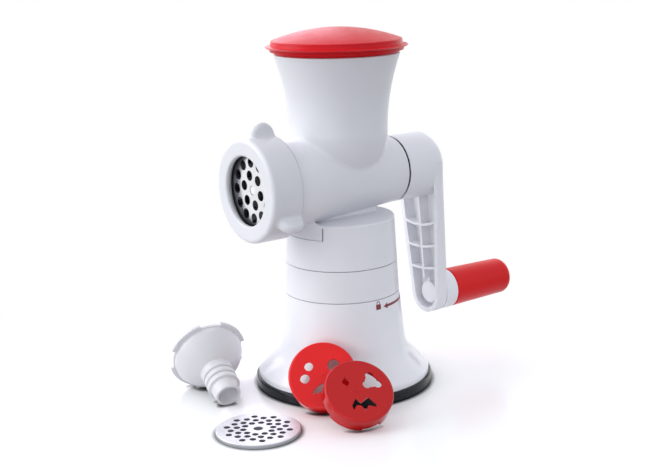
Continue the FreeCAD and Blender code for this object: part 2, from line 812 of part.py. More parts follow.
arm = arm.cut(barrel_rod(grip_pin_r, skin_x - 8, handle_boss_x + 1, 0, handle_z))
write("crank_arm", about_barrel(arm, -crank_rest_angle))

thrust_ring = turned_on_barrel([
    (barrel_rear_x + close_gap, bush_r),
    (hub_start_x, bush_r),
    (hub_start_x, hub_r - 0.8),
    (barrel_rear_x + close_gap, hub_r - 0.8),
])
write("thrust_ring", thrust_ring)

crank_screw = barrel_rod(screw_r - running_gap, screw_start_x + 2, head_seat_x + 0.5)
screw_head = barrel_rod(5.0, head_seat_x, head_seat_x + 3.2)
screw_head = rounded(screw_head, 0.8, lambda edge: edge.BoundBox.XMin > head_seat_x + 3.19)
crank_screw = crank_screw.fuse(screw_head).cut(hexagon(4.0, head_seat_x + 1.4, head_seat_x + 4))
write("crank_screw", about_barrel(crank_screw, -crank_rest_angle))
hub_cap = turned_on_barrel([
    (cap_floor_x, 0.0),
    (cap_floor_x, cap_r - 0.05),
    (arm_outer_x - 0.4, cap_r - 0.05),
    (arm_outer_x + 0.2, cap_r - 1.0),
    (arm_outer_x + 0.8, 0.0),
])
write("hub_cap", hub_cap)

# Grip on its pin
pin_end_x = grip_end_x - 12.0
pin_start_x = skin_x - 5.5


def beside_handle(spot):
    return Vector(spot[0], 0, handle_z + spot[1])


def turned_on_handle(stops):
    shape = outline(stops, beside_handle).revolve(Vector(0, 0, handle_z), Vector(1, 0, 0), 360)
    return about_barrel(shape, -crank_rest_angle)


grip_bore_r = grip_pin_r + running_gap
pocket_r = 9.4
cap_depth = 3.2
grip = turned_on_handle([
    (grip_start_x, grip_bore_r),
    (grip_start_x, grip_start_r - 1.2),
    (grip_start_x + 0.4, grip_start_r - 0.4, grip_start_x + 1.2, grip_start_r),
    (grip_end_x - 6.0, grip_end_r),
    (grip_end_x - 1.8, grip_end_r - 1.8, grip_end_x, grip_end_r - 5.5),
    (grip_end_x, pocket_r),
    (pin_end_x - 0.5, pocket_r),
    (pin_end_x - 0.5, grip_bore_r),
])
write("handle_grip", grip)
write("handle_pin", turned_on_handle([
    (pin_start_x, 0.0),
    (pin_start_x, grip_pin_r),
    (pin_end_x, grip_pin_r),
    (pin_end_x, 2.0),
    (pin_end_x - 9, 2.0),
    (pin_end_x - 9, 0.0),
]))
write("handle_screw", turned_on_handle([
    (pin_end_x - 7, 0.0),
    (pin_end_x - 7, 2.0 - running_gap),
    (pin_end_x, 2.0 - running_gap),
    (pin_end_x, pocket_r - 1.2),
    (pin_end_x + 1.6, pocket_r - 1.2),
    (pin_end_x + 1.6, 4.4),
    (pin_end_x + 4.2, 3.6),
    (pin_end_x + 4.2, 0.0),
]))
write("grip_cap", turned_on_handle([
    (grip_end_x - cap_depth, 0.0),
    (grip_end_x - cap_depth, pocket_r - 0.02),
    (grip_end_x - 0.2, pocket_r - 0.02),
    (grip_end_x + 0.2, pocket_r - 0.8),
    (grip_end_x + 0.7, 0.0),
]))

# Pusher: a stepped lid that rests on the hopper rim and a hollow stem below it
lid_wall = 2.4
dome_edge_z = lid_flange_z + 4.6
lid = turned_upright([
    (0.0, lid_top_z),
    (28.0, lid_top_z - 2.7, lid_tier_r - 1.2, dome_edge_z + 0.8),
    (lid_tier_r - 0.3, dome_edge_z + 0.3, lid_tier_r, dome_edge_z - 0.8),
    (lid_tier_r + 0.5, lid_flange_z + 1.0),
    (lid_flange_r - 0.8, lid_flange_z + 0.6),
    (lid_flange_r, lid_flange_z),
    (lid_flange_r - 0.8, lid_flange_z - 0.7),
    (lid_tier_r + 1.6, lid_flange_z - 1.2),
    (lid_tier_r + 1.0, lid_flange_z - 3.6),
    (hopper_rim_r - 0.2, lid_flange_z - 4.0),
    (hopper_rim_r - 0.6, lid_bottom_z),
    (hopper_rim_r - wall - 1.2, lid_bottom_z),
    (hopper_rim_r - wall - 1.8, lid_bottom_z - 4.0),
    (hopper_rim_r - wall - 4.0, lid_bottom_z - 4.0),
    (hopper_rim_r - wall - 3.6, lid_flange_z + 2.0),
    (pusher_r + 1.0 + lid_wall, lid_top_z - 9.0),
    (pusher_r + lid_wall, lid_bottom_z + 1.0),
    (pusher_r, lid_bottom_z + 1.0),
    (pusher_r, lid_top_z - 9.4),
    (0.0, lid_top_z - 4.6),
])
write("pusher_lid", lid)
stem_wall = 2.2
plunger_foot = 28.6
plunger = turned_upright([
    (0.0, pusher_bottom_z),
    (plunger_foot - 3.0, pusher_bottom_z),
    (plunger_foot - 0.9, pusher_bottom_z + 0.9, plunger_foot, pusher_bottom_z + 3.0),
    (pusher_r - 0.02, lid_bottom_z + 1.0),
    (pusher_r - 0.02, lid_top_z - 10.5),
    (pusher_r - stem_wall, lid_top_z - 10.5),
    (pusher_r - stem_wall, lid_bottom_z + 1.0),
    (plunger_foot - stem_wall, pusher_bottom_z + 3.5),
    (plunger_foot - stem_wall - 2.0, pusher_bottom_z + stem_wall),
    (0.0, pusher_bottom_z + stem_wall),
])
write("pusher_stem", plunger)


# Loose attachments that stand on the table beside the base
def laid(shape, spot, side, up, facing):
    """Place a shape built about its own upright axis so that axis faces the given way."""
    turn = FreeCAD.Matrix(
        side.x, up.x, facing.x, spot.x,
        side.y, up.y, facing.y, spot.y,
        side.z, up.z, facing.z, spot.z,
        0, 0, 0, 1,
    )
    copy = shape.copy()
    copy.Placement = FreeCAD.Placement(turn)
    return copy


flange_thickness = 2.6
dome_start_r = funnel_flange_r - 3.6
skin = 1.8
neck_z = 0.446 * funnel_length
neck_r = funnel_tube_r + 3.2
ridge_lead = 3.1
ridge_step = 0.116 * funnel_length
ridge_depth = 2.0
funnel_side = [
    (dome_start_r - skin, 0.0),
    (funnel_flange_r, 0.0),
    (funnel_flange_r, flange_thickness),
    (dome_start_r, flange_thickness),
    (dome_start_r - 0.4, 7.0),
    (0.78 * dome_start_r, 0.7 * neck_z, neck_r, neck_z),
]
for step in range(3):
    low = neck_z + ridge_lead + step * ridge_step
    crest_r = neck_r - 0.1 * step
    funnel_side.append((crest_r - 0.2, low))
    funnel_side.append((crest_r, low + 0.65 * ridge_step))
    funnel_side.append((crest_r - ridge_depth, low + 0.75 * ridge_step))
    funnel_side.append((crest_r - ridge_depth, low + 0.92 * ridge_step))
funnel_side.extend([
    (funnel_tube_r, funnel_length),
    (funnel_tube_r - skin, funnel_length),
    (neck_r - 4.0, neck_z + 2.0),
    (neck_r - 2.2, neck_z - 1.4),
    (0.72 * dome_start_r, 0.64 * neck_z, dome_start_r - skin - 0.5, 7.0),
])
funnel = turned_upright(funnel_side)
half_gap = math.radians(funnel_gap_angle / 2)
for step in range(4):
    reach = 2 * funnel_flange_r
    wedge = outline([
        (0.0, 0.0),
        (reach * math.cos(half_gap), -reach * math.sin(half_gap)),
        (reach * math.cos(half_gap), reach * math.sin(half_gap)),
    ], lambda spot: Vector(spot[0], spot[1], -1))
    wedge = prism(wedge, Vector(0, 0, flange_thickness + 2))
    wedge = wedge.cut(upright_rod(dome_start_r + 0.6, -2, flange_thickness + 2))
    funnel = funnel.cut(turned(wedge, 90 * step))
rest_r = funnel_flange_r * math.cos(half_gap)
tilt = math.atan2(rest_r - funnel_tube_r, funnel_length - flange_thickness)
heading = math.radians(funnel_heading)
ahead = Vector(math.sin(heading), -math.cos(heading), 0)
rise = Vector(0, 0, 1)
facing = ahead * math.cos(tilt) - rise * math.sin(tilt)
up = ahead * math.sin(tilt) + rise * math.cos(tilt)
flange_spot = Vector(funnel_spot[0], funnel_spot[1], 0) + up * funnel_tube_r - facing * funnel_length
write("sausage_funnel", laid(funnel, flange_spot, up.cross(facing), up, facing))

fine_plate = upright_rod(plate_r, 0, fine_plate_thickness)
fine_top = Vector(0, 0, fine_plate_thickness)
fine_plate = rounded(fine_plate, 0.8, lambda edge: is_ring(edge, plate_r, fine_top))
fine_plate = fine_plate.cut(upright_rod(plate_pin_r + running_gap, -1, fine_plate_thickness + 1))
for share, first in ((0.352, 10.0), (0.512, 28.0), (0.643, 10.0), (0.748, 28.0)):
    ring = share * plate_r
    for step in range(10):
        angle = math.radians(first + 36 * step)
        x = ring * math.cos(angle)
        y = ring * math.sin(angle)
        fine_plate = fine_plate.cut(upright_rod(fine_hole_r, -1, fine_plate_thickness + 1, x, y))
fine_plate.translate(Vector(fine_plate_spot[0], fine_plate_spot[1], 0))
write("fine_plate", fine_plate)


def die_blank():
    """Cap with a well rounded edge, its face being at height zero."""
    edge = die_edge_r
    corner = 0.29 * edge
    return turned_upright([
        (0.0, 0.0),
        (die_r - edge, 0.0),
        (die_r - corner, -corner, die_r, -edge),
        (die_r, -die_depth),
        (die_r - die_wall, -die_depth),
        (die_r - die_wall, -die_wall),
        (0.0, -die_wall),
    ])


def flat(spot):
    return Vector(spot[0], spot[1], -die_depth)


def through(face):
    return prism(face, Vector(0, 0, die_depth + 2))


def set_back(shape, heading_angle, back_angle, aside, behind):
    """Stand a die on its edge and push it back until it all but touches what is behind it."""
    turn = math.radians(heading_angle)
    back = math.radians(back_angle)
    heading = Vector(math.sin(turn), -math.cos(turn), 0)
    facing = heading * math.cos(back) + Vector(0, 0, math.sin(back))
    side = Vector(0, 0, 1).cross(heading)
    up = facing.cross(side)
    start = heading * (3 * foot_r) + side * aside
    die = laid(shape, start + Vector(0, 0, die_r * math.cos(back)) + facing * die_depth, side, up, facing)
    for step in range(40):
        gap = min(die.distToShape(other)[0] for other in behind)
        if gap < die_gap + 0.01:
            break
        die.translate(heading * (die_gap - gap))
    return die


def slotted(die, first):
    """Cut the four bayonet slots in the open edge of a die."""
    for step in range(4):
        slot = sector(die_r + 1, -die_depth - 1, 4.0 - die_depth, funnel_gap_angle / 2)
        slot = slot.cut(upright_rod(die_r - 1.2, -2 * die_depth, die_depth))
        die = die.cut(turned(slot, first + 90 * step - 180))
    return die


def die_spots(shares):
    return [tuple(share * die_r for share in spot) for spot in shares]


round_holes = die_blank()
eyes = die_spots([(-0.4, 0.255, 0.126), (-0.505, -0.105, 0.136), (0.313, 0.3, 0.176)])
for x, y, radius in eyes:
    round_holes = round_holes.cut(upright_rod(radius, -die_depth, 2, x, y))
leaf = outline(die_spots([
    (-0.285, -0.545),
    (-0.12, -0.31, 0.24, -0.225),
    (0.2, -0.4),
    (0.062, -0.485),
]), flat)
round_holes = round_holes.cut(through(leaf))
round_holes = round_holes.fuse(Part.makeSphere(1.0, Vector(0, 0, -0.4)))
round_holes = slotted(round_holes, 30)
first_die = set_back(
    round_holes, round_die_heading, round_die_lean, round_die_aside, [whole(bell), whole(foot_ring)]
)
write("die_rounds", first_die)

trefoil = die_blank()
petals = die_spots([
    (0.41, 0.41, 0.123),
    (0.57, 0.122, 0.123),
    (0.263, 0.15, 0.123),
    (0.414, 0.227, 0.185),
])
for x, y, radius in petals:
    trefoil = trefoil.cut(upright_rod(radius, -die_depth, 2, x, y))
zigzag = outline(die_spots([
    (-0.342, -0.446),
    (-0.18, -0.226),
    (-0.068, -0.395),
    (0.194, -0.252),
    (0.359, -0.485),
    (0.337, -0.59),
    (0.123, -0.509),
    (0.011, -0.647),
    (-0.086, -0.482),
    (-0.212, -0.455),
    (-0.325, -0.595),
]), flat)
trefoil = trefoil.cut(through(zigzag))
diamond = outline(die_spots([(-0.441, 0.315), (-0.322, 0.161), (-0.203, 0.315), (-0.322, 0.469)]), flat)
trefoil = trefoil.cut(through(diamond))
trefoil = trefoil.fuse(Part.makeSphere(1.0, Vector(-0.2 * die_r, 0, -0.4)))
trefoil = slotted(trefoil, 190)
second_die = set_back(
    trefoil, trefoil_die_heading, trefoil_die_lean, trefoil_die_aside, [first_die, whole(foot_ring)]
)
write("die_trefoil", second_die)
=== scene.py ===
import math

import bmesh
import bpy
from mathutils import Matrix, Vector


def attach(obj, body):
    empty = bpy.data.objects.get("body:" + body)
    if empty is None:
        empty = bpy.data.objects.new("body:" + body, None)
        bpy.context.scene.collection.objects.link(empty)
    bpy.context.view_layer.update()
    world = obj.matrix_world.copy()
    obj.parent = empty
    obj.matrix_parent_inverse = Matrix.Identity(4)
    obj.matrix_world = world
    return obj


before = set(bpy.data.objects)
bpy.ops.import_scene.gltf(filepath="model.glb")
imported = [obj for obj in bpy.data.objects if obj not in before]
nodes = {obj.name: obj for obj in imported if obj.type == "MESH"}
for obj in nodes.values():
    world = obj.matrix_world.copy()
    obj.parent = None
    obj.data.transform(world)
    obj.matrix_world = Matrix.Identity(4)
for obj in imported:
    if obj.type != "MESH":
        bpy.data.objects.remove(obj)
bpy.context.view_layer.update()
scene = bpy.context.scene
scene.view_settings.view_transform = "Standard"

barrel_z = 0.1762
plate_spot = (-0.1236, -0.0552, 0)
nut_edge_r = 0.0022
hole_shade_reach = 0.007


# Camera at the photo's place
def add_camera():
    azimuth = -0.6331
    aim_aside = 0.007
    turn = azimuth + aim_aside
    pitch = 0.2361
    roll = -0.0246
    distance = 1.00358
    height = 0.36873
    sensor_width = 36.0
    focal_pixels = 1230.25
    photo_width = 665
    forward = Vector((
        -math.sin(turn) * math.cos(pitch),
        math.cos(turn) * math.cos(pitch),
        -math.sin(pitch),
    ))
    right = forward.cross(Vector((0, 0, 1))).normalized()
    up = right.cross(forward)
    side = right * math.cos(roll) + up * math.sin(roll)
    top = up * math.cos(roll) - right * math.sin(roll)
    spot = Vector((math.sin(azimuth) * distance, -math.cos(azimuth) * distance, height))
    data = bpy.data.cameras.new("camera")
    data.sensor_width = sensor_width
    data.lens = sensor_width * focal_pixels / photo_width
    camera = bpy.data.objects.new("camera", data)
    scene.collection.objects.link(camera)
    turned = Matrix((side, top, -forward)).transposed().to_4x4()
    camera.matrix_world = Matrix.Translation(spot) @ turned
    scene.camera = camera


# Material helpers
class Paint:
    """A node material with short calls for the nodes used here."""

    def __init__(self, name):
        self.material = bpy.data.materials.new(name)
        self.material.use_nodes = True
        self.tree = self.material.node_tree
        self.shader = self.tree.nodes["Principled BSDF"]
        self.place = self.add("ShaderNodeTexCoord").outputs["Object"]

    def add(self, kind, **values):
        node = self.tree.nodes.new(kind)
        for key, value in values.items():
            setattr(node, key, value)
        return node

    def link(self, source, target):
        self.tree.links.new(source, target)

    def noise(self, size, detail=2.0, stretch=None):
        """Noise with features of about the given size in metres."""
        node = self.add("ShaderNodeTexNoise")
        node.inputs["Scale"].default_value = 1.0 / size
        node.inputs["Detail"].default_value = detail
        source = self.place
        if stretch:
            mapping = self.add("ShaderNodeMapping")
            mapping.inputs["Scale"].default_value = stretch
            self.link(source, mapping.inputs["Vector"])
            source = mapping.outputs["Vector"]
        self.link(source, node.inputs["Vector"])
        return node.outputs["Fac"]

    def ranged(self, source, low, high, start=0.3, end=0.7):
        node = self.add("ShaderNodeMapRange")
        node.inputs["From Min"].default_value = start
        node.inputs["From Max"].default_value = end
        node.inputs["To Min"].default_value = low
        node.inputs["To Max"].default_value = high
        self.link(source, node.inputs["Value"])
        return node.outputs["Result"]

    def between(self, source, first, second, start=0.3, end=0.7):
        ramp = self.add("ShaderNodeValToRGB")
        ramp.color_ramp.elements[0].position = start
        ramp.color_ramp.elements[0].color = (*first, 1)
        ramp.color_ramp.elements[1].position = end
        ramp.color_ramp.elements[1].color = (*second, 1)
        self.link(source, ramp.inputs["Fac"])
        return ramp.outputs["Color"]

    def bump(self, source, height, before=None):
        node = self.add("ShaderNodeBump")
        node.inputs["Strength"].default_value = 1.0
        node.inputs["Distance"].default_value = height
        self.link(source, node.inputs["Height"])
        if before:
            self.link(before, node.inputs["Normal"])
        return node.outputs["Normal"]

    def along_x(self, start, end):
        """Share from 0 to 1 between two places along the object's X axis."""
        parts = self.add("ShaderNodeSeparateXYZ")
        self.link(self.place, parts.inputs["Vector"])
        return self.ranged(parts.outputs["X"], 0.0, 1.0, start, end)

    def facing(self, axis, start, end):
        """Share from 0 to 1 as a face turns along one of the object's axes."""
        parts = self.add("ShaderNodeSeparateXYZ")
        self.link(self.place.node.outputs["Normal"], parts.inputs["Vector"])
        return self.ranged(parts.outputs[axis], 0.0, 1.0, start, end)

    def recolour(self, share, colour):
        """Blend the base colour towards another by a share."""
        mix = self.add("ShaderNodeMix", data_type="RGBA")
        self.link(share, mix.inputs[0])
        self.link(self.shader.inputs["Base Color"].links[0].from_socket, mix.inputs[6])
        mix.inputs[7].default_value = (*colour, 1)
        self.link(mix.outputs[2], self.shader.inputs["Base Color"])

    def set(self, **values):
        for key, value in values.items():
            self.shader.inputs[key.replace("_", " ")].default_value = value

    def distance_from(self, centre, along):
        """Distance from an axis through the centre, measured across it."""
        shift = self.add("ShaderNodeVectorMath", operation="SUBTRACT")
        shift.inputs[1].default_value = centre
        self.link(self.place, shift.inputs[0])
        flat = self.add("ShaderNodeVectorMath", operation="MULTIPLY")
        flat.inputs[1].default_value = tuple(0.0 if part else 1.0 for part in along)
        self.link(shift.outputs["Vector"], flat.inputs[0])
        length = self.add("ShaderNodeVectorMath", operation="LENGTH")
        self.link(flat.outputs["Vector"], length.inputs[0])
        return length.outputs["Value"]


def tinted(colour, share):
    return tuple(min(1.0, part * share) for part in colour)


def moulded(name, colour, rough, grain, height, drift=0.025):
    """Moulded plastic: slow colour drift, uneven gloss and a fine grain from the mould."""
    drift_size = 0.06
    patch_size = 0.009
    wave_size = 0.018
    wave_height = 0.00002
    smooth = rough - 0.04
    dull = rough + 0.05
    paint = Paint(name)
    slow = paint.noise(drift_size, detail=3.0)
    paint.link(
        paint.between(slow, tinted(colour, 1 - drift), tinted(colour, 1 + drift)),
        paint.shader.inputs["Base Color"],
    )
    patch = paint.noise(patch_size, detail=4.0)
    paint.link(paint.ranged(patch, smooth, dull), paint.shader.inputs["Roughness"])
    wave = paint.bump(paint.noise(wave_size, detail=1.0), wave_height)
    paint.link(paint.bump(paint.noise(grain), height, wave), paint.shader.inputs["Normal"])
    return paint


def turned_steel(name, centre, along, colour, rough):
    """Bright steel with the fine rings left by turning and a faint haze."""
    rings_per_metre = 2600.0
    ring_height = 0.000003
    haze_size = 0.012
    wave_size = 0.006
    wave_height = 0.000012
    smooth = rough - 0.06
    dull = rough + 0.1
    paint = Paint(name)
    reach = paint.distance_from(centre, along)
    rings = paint.add("ShaderNodeTexNoise", noise_dimensions="1D")
    rings.inputs["Scale"].default_value = rings_per_metre
    rings.inputs["Detail"].default_value = 3.0
    paint.link(reach, rings.inputs["W"])
    haze = paint.noise(haze_size, detail=4.0)
    paint.link(
        paint.between(haze, tinted(colour, 0.93), tinted(colour, 1.05)),
        paint.shader.inputs["Base Color"],
    )
    ring_share = rings.outputs["Fac"]
    paint.link(paint.ranged(ring_share, smooth, dull), paint.shader.inputs["Roughness"])
    fine = paint.bump(ring_share, ring_height)
    wave = paint.bump(paint.noise(wave_size), wave_height, fine)
    paint.link(wave, paint.shader.inputs["Normal"])
    paint.set(Metallic=1.0)
    return paint


def drawn_steel(name, colour, rough, stretch):
    """Steel with fine lines along one direction."""
    line_size = 0.0006
    line_height = 0.00001
    smooth = rough - 0.05
    dull = rough + 0.1
    paint = Paint(name)
    lines = paint.noise(line_size, detail=3.0, stretch=stretch)
    paint.link(
        paint.between(lines, tinted(colour, 0.9), tinted(colour, 1.05)),
        paint.shader.inputs["Base Color"],
    )
    paint.link(paint.ranged(lines, smooth, dull), paint.shader.inputs["Roughness"])
    paint.link(paint.bump(lines, line_height), paint.shader.inputs["Normal"])
    paint.set(Metallic=1.0)
    return paint


def rubber(name, colour, rough):
    """Dark rubber with a soft bloom and small pits."""
    bloom_size = 0.02
    patch_size = 0.006
    pit_size = 0.0011
    pit_height = 0.00002
    smooth = rough - 0.06
    dull = rough + 0.1
    paint = Paint(name)
    bloom = paint.noise(bloom_size, detail=5.0)
    paint.link(
        paint.between(bloom, tinted(colour, 0.8), tinted(colour, 1.5)),
        paint.shader.inputs["Base Color"],
    )
    patch = paint.noise(patch_size, detail=4.0)
    paint.link(paint.ranged(patch, smooth, dull), paint.shader.inputs["Roughness"])
    pits = paint.noise(pit_size, detail=3.0)
    paint.link(paint.bump(pits, pit_height), paint.shader.inputs["Normal"])
    return paint


# Materials
white = (0.80, 0.805, 0.84)
red = (0.72, 0.007, 0.010)

satin_white = moulded("satin_white", white, rough=0.34, grain=0.0009, height=0.000002)
satin_white.set(IOR=1.47)
# The nut is a darker copy of the satin white: painted shade on its sides and lobes.
nut_white_painted_shade = moulded("nut_white_painted_shade", tinted(white, 0.89), rough=0.34, grain=0.0009, height=0.000002)
soft_edge = nut_white_painted_shade.add("ShaderNodeBevel", samples=6)
soft_edge.inputs["Radius"].default_value = nut_edge_r
for node in nut_white_painted_shade.tree.nodes:
    if node.bl_idname == "ShaderNodeBump" and not node.inputs["Normal"].is_linked:
        nut_white_painted_shade.link(soft_edge.outputs["Normal"], node.inputs["Normal"])
# Painted light: faces of the nut turned towards -X are lightened back up towards white.
nut_front_painted_light = nut_white_painted_shade.facing("X", start=-0.2, end=-0.8)
nut_white_painted_shade.recolour(nut_front_painted_light, tinted(white, 0.99))
# A lighter copy of the satin white for the crank arm, hub cap and handle pin. Faces turned
# towards -X, the recessed channel floor, are painted near white: painted light in the channel.
arm_white_painted_light = moulded("arm_white_painted_light", tinted(white, 1.06), rough=0.34, grain=0.0009, height=0.000002)
channel_painted_light = arm_white_painted_light.facing("X", start=-0.6, end=-0.95)
arm_white_painted_light.recolour(channel_painted_light, (0.97, 0.97, 0.985))

collar_white = moulded(
    "collar_white", tinted(white, 1.02), rough=0.21, grain=0.0010, height=0.000002
)
bell_white = moulded("bell_white", tinted(white, 1.03), rough=0.14, grain=0.0014, height=0.000002)
band_white = moulded("band_white", tinted(white, 1.02), rough=0.09, grain=0.0016, height=0.000002)
inner_white = moulded(
    "inner_white", tinted(white, 0.96), rough=0.45, grain=0.0009, height=0.000005
)
# The auger is painted dark grey so the holes of the plate show a shaded barrel behind them:
# painted shade. Its front end is bright steel.
screw_grey_painted_shade = moulded(
    "screw_grey_painted_shade", (0.055, 0.057, 0.064), rough=0.42, grain=0.0009, height=0.000006, drift=0.08
)
bright_end = screw_grey_painted_shade.along_x(start=-0.0795, end=-0.0805)
screw_grey_painted_shade.recolour(bright_end, (0.80, 0.81, 0.84))
screw_grey_painted_shade.link(bright_end, screw_grey_painted_shade.shader.inputs["Metallic"])

funnel_white = moulded(
    "funnel_white", (0.665, 0.665, 0.68), rough=0.34, grain=0.0010, height=0.000004
)
funnel_white.set(Subsurface_Weight=0.15, Subsurface_Radius=(0.006, 0.006, 0.0065))
funnel_white.set(Subsurface_Scale=1.0)

lid_red = moulded(
    "lid_red", tinted(red, 0.88), rough=0.33, grain=0.0010, height=0.0000006, drift=0.04
)
grip_red = moulded("grip_red", red, rough=0.33, grain=0.0008, height=0.000002, drift=0.04)
die_red = moulded(
    "die_red", tinted(red, 1.04), rough=0.12, grain=0.0010, height=0.000001, drift=0.04
)
deep_red = moulded(
    "deep_red", tinted(red, 0.70), rough=0.12, grain=0.0010, height=0.000001, drift=0.04
)
stem_red = moulded(
    "stem_red", tinted(red, 0.95), rough=0.36, grain=0.0010, height=0.000004, drift=0.04
)
for paint in (die_red, deep_red):
    paint.set(Specular_IOR_Level=0.3)
stem_red.set(Specular_IOR_Level=0.38)
grip_red.set(Specular_IOR_Level=0.22)
lid_red.set(Specular_IOR_Level=0.22, Specular_Tint=(1.0, 0.78, 1.0, 1.0))

along_barrel = (1, 0, 0)
upright = (0, 0, 1)
coarse_steel = turned_steel(
    "coarse_steel", (0, 0, barrel_z), along_barrel, colour=(0.82, 0.83, 0.86), rough=0.13
)
fine_steel = turned_steel(
    "fine_steel", plate_spot, upright, colour=(0.70, 0.71, 0.745), rough=0.46
)
# Painted shade: faces of the fine plate that turn away from straight up, its rim side, are
# painted dark grey.
plate_side_painted_shade = fine_steel.facing("Z", start=0.8, end=0.3)
fine_steel.recolour(plate_side_painted_shade, (0.42, 0.43, 0.46))
# Painted shade: the coarse plate is painted near black where ambient occlusion finds other
# surfaces close, in and round its holes and under the nut's lip.
coarse_shade = coarse_steel.add("ShaderNodeAmbientOcclusion", samples=8)
coarse_shade.inputs["Distance"].default_value = hole_shade_reach
hole_painted_shade = coarse_steel.ranged(
    coarse_shade.outputs["AO"], low=1.0, high=0.0, start=0.45, end=0.85
)
coarse_steel.recolour(hole_painted_shade, (0.03, 0.032, 0.036))
rod_steel = drawn_steel("rod_steel", (0.66, 0.67, 0.69), rough=0.34, stretch=(0.08, 1, 1))
# The knife is painted dark steel so the plate's holes show a shaded barrel behind them: painted
# shade.
knife_steel_painted_shade = drawn_steel("knife_steel_painted_shade", (0.16, 0.165, 0.18), rough=0.34, stretch=(1, 0.1, 1))
screw_steel = drawn_steel("screw_steel", (0.60, 0.61, 0.63), rough=0.34, stretch=(1, 1, 0.15))

foot_black = rubber("foot_black", (0.006, 0.008, 0.012), rough=0.10)
foot_black.set(Specular_IOR_Level=0.21)
pad_black = rubber("pad_black", (0.016, 0.017, 0.018), rough=0.5)
ring_black = rubber("ring_black", (0.002, 0.002, 0.003), rough=0.55)
ring_black.set(Specular_IOR_Level=0.08)

finish = {
    "foot_ring": foot_black,
    "base_bell": bell_white,
    "lock_ring": band_white,
    "base_collar": collar_white,
    "collar_screws": screw_steel,
    "suction_pad": pad_black,
    "suction_stem": inner_white,
    "suction_pin": rod_steel,
    "grinder_body": satin_white,
    "hopper": satin_white,
    "head_spigot": satin_white,
    "rear_bush": inner_white,
    "coarse_plate": coarse_steel,
    "ring_nut": nut_white_painted_shade,
    "auger": screw_grey_painted_shade,
    "knife": knife_steel_painted_shade,
    "crank_arm": arm_white_painted_light,
    "thrust_ring": ring_black,
    "crank_screw": rod_steel,
    "hub_cap": arm_white_painted_light,
    "handle_grip": grip_red,
    "handle_pin": arm_white_painted_light,
    "handle_screw": rod_steel,
    "grip_cap": grip_red,
    "pusher_lid": lid_red,
    "pusher_stem": stem_red,
    "sausage_funnel": funnel_white,
    "fine_plate": fine_steel,
    "die_rounds": die_red,
    "die_trefoil": deep_red,
}
for name, paint in finish.items():
    node = nodes[name]
    node.data.materials.clear()
    node.data.materials.append(paint.material)


# Printed lock mark and arrow on the bell
print_height = 0.00006
print_radius = 0.0489
column_foot = (0.0530, 0.0390)
column_top = (0.0482, 0.0799)


def on_bell(angle, z):
    """Point on the ink surface of the bell at an angle in degrees and a height in metres."""
    share = (z - column_foot[1]) / (column_top[1] - column_foot[1])
    radius = column_foot[0] + share * (column_top[0] - column_foot[0]) + print_height
    turn = math.radians(angle)
    return Vector((radius * math.cos(turn), radius * math.sin(turn), z))


def wrapped(outline_points, middle_angle, middle_z):
    """Points of a flat drawing in millimetres laid on the bell."""
    degrees_per_mm = math.degrees(0.001 / print_radius)
    return [
        on_bell(middle_angle + across * degrees_per_mm, middle_z + rise / 1000)
        for across, rise in outline_points
    ]


def strip(mesh, lower, upper, angle, z):
    """A run of faces between two lists of flat points of the same length."""
    low = [mesh.verts.new(spot) for spot in wrapped(lower, angle, z)]
    high = [mesh.verts.new(spot) for spot in wrapped(upper, angle, z)]
    for step in range(len(low) - 1):
        mesh.faces.new((low[step], low[step + 1], high[step + 1], high[step]))


def row(start, end, height, steps):
    return [(start + (end - start) * step / steps, height) for step in range(steps + 1)]


def rounded_side(half, radius, height, upward):
    """Upper or lower edge of a rounded block, from its left end to its right end."""
    points = []
    steps = 6
    quarter = math.pi / 2
    for step in range(steps + 1):
        turn = math.pi - step * quarter / steps
        points.append((-half + radius + radius * math.cos(turn), radius * math.sin(turn)))
    for step in range(steps + 1):
        turn = quarter - step * quarter / steps
        points.append((half - radius + radius * math.cos(turn), radius * math.sin(turn)))
    sign = 1 if upward else -1
    return [(across, sign * (height - radius + rise)) for across, rise in points]


def add_mark(name, draw):
    mesh = bmesh.new()
    draw(mesh)
    bmesh.ops.recalc_face_normals(mesh, faces=mesh.faces)
    data = bpy.data.meshes.new(name)
    mesh.to_mesh(data)
    mesh.free()
    for face in data.polygons:
        face.use_smooth = True
    mark = bpy.data.objects.new(name, data)
    scene.collection.objects.link(mark)
    data.materials.append(ink.material)
    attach(mark, "base")


ink = Paint("mark_ink")
ink_dark = (0.17, 0.012, 0.022)
ink_pale = (0.24, 0.02, 0.03)
ink_thickness = 0.000004
ink_wear = ink.noise(0.0009, detail=4.0)
ink.link(ink.between(ink_wear, ink_dark, ink_pale), ink.shader.inputs["Base Color"])
ink.link(ink.ranged(ink_wear, low=0.3, high=0.45), ink.shader.inputs["Roughness"])
ink.link(ink.bump(ink_wear, ink_thickness), ink.shader.inputs["Normal"])

lock_angle = -89.2
lock_z = 0.0743
lock_half = 2.5
lock_body = 2.15
lock_corner = 0.5
shackle_inner = 1.1
shackle_outer = 1.8
shackle_rise = 0.8
arrow_angle = -82.9
arrow_z = 0.0736
arrow_half = 2.5
shaft_half = 1.05


def shackle(radius):
    """One edge of the lock's bow, from its right foot over to its left foot."""
    steps = 24
    points = [(radius, lock_body)]
    for step in range(steps + 1):
        turn = math.pi * step / steps
        rise = lock_body + shackle_rise + radius * math.sin(turn)
        points.append((radius * math.cos(turn), rise))
    points.append((-radius, lock_body))
    return points


def draw_lock(mesh):
    strip(
        mesh,
        rounded_side(lock_half, lock_corner, lock_body, False),
        rounded_side(lock_half, lock_corner, lock_body, True),
        lock_angle,
        lock_z,
    )
    strip(mesh, shackle(shackle_inner), shackle(shackle_outer), lock_angle, lock_z)


